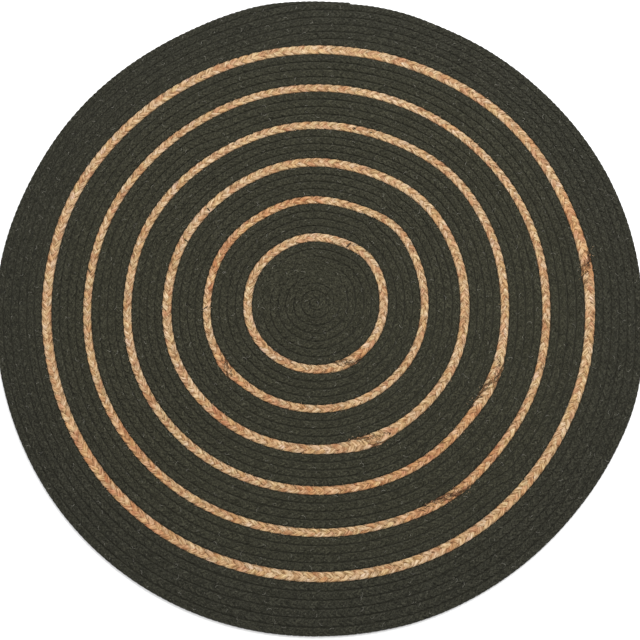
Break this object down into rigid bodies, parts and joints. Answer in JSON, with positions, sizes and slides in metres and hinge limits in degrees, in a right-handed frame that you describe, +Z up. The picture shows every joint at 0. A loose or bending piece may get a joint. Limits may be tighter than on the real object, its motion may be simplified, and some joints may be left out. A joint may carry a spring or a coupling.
{
  "type": "round braided cotton rug",
  "caption": "Round flat floor rug of sewn plaits, dark cotton coils with narrow natural jute rings.",
  "frame": {"origin": "middle of the underside, on the floor that the rug lies on", "axes": "+Z up out of the rug's top face, +X to the right and +Y to the top of the picture"},
  "size_m": [1.1978, 1.2066, 0.0088],
  "materials": {
    "cotton_plait": "matt plaited cotton, dark olive charcoal",
    "jute_plait": "natural plaited jute, slightly shiny fibres"
  },
  "bodies": {
    "root": {"cotton_centre_coil": "cotton_plait", "jute_ring_1": "jute_plait", "cotton_band_1": "cotton_plait", "jute_ring_2": "jute_plait", "cotton_band_2": "cotton_plait", "jute_ring_3": "jute_plait", "cotton_band_3": "cotton_plait", "jute_ring_4": "jute_plait", "cotton_band_4": "cotton_plait", "jute_ring_5": "jute_plait", "cotton_band_5": "cotton_plait", "jute_ring_6": "jute_plait", "cotton_rim": "cotton_plait"}
  },
  "joints": []
}
